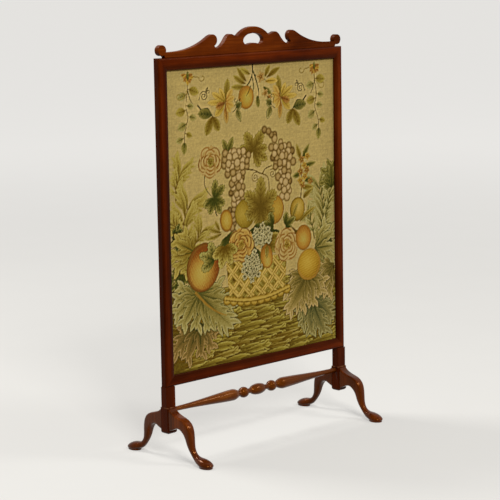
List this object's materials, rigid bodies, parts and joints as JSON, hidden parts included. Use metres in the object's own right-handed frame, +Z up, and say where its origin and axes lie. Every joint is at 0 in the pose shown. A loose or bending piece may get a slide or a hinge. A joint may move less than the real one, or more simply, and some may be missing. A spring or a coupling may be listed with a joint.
{
  "type": "fire screen",
  "caption": "Cheval fire screen: a moulded wooden frame with a needlework panel and a pierced crest, on two posts with cabriole legs and a turned stretcher.",
  "frame": {"origin": "on the floor, under the middle of the screen", "axes": "+X across the screen, to the right seen from the front; the needlework faces -Y; +Z up"},
  "size_m": [0.667, 0.3154, 1.086],
  "materials": {
    "mahogany": "French polished, red-brown, glossy",
    "warm_mahogany": "French polished, worn to a warmer orange-brown",
    "beech": "unfinished dowels and keys",
    "pine": "planed, unfinished",
    "plywood": "thin board, stained brown",
    "needlework": "wool stitches on canvas",
    "steel": "blued tacks and pins"
  },
  "bodies": {
    "root": {"top_rail": "mahogany", "bottom_rail": "mahogany", "left_stile": "mahogany", "right_stile": "mahogany", "mitre_keys": "beech", "crest": "mahogany", "crest_dowels": "beech", "left_post": "mahogany", "right_post": "mahogany", "post_dowels": "beech", "stretcher": "warm_mahogany", "front_left_leg": "warm_mahogany", "rear_left_leg": "warm_mahogany", "front_right_leg": "warm_mahogany", "rear_right_leg": "warm_mahogany", "leg_dowels": "beech", "needlework_canvas": "needlework", "strainer_top": "pine", "strainer_bottom": "pine", "strainer_left": "pine", "strainer_right": "pine", "canvas_tacks": "steel", "backing_board": "plywood", "bead_top": "mahogany", "bead_bottom": "mahogany", "bead_left": "mahogany", "bead_right": "mahogany", "bead_pins": "steel"}
  },
  "joints": []
}
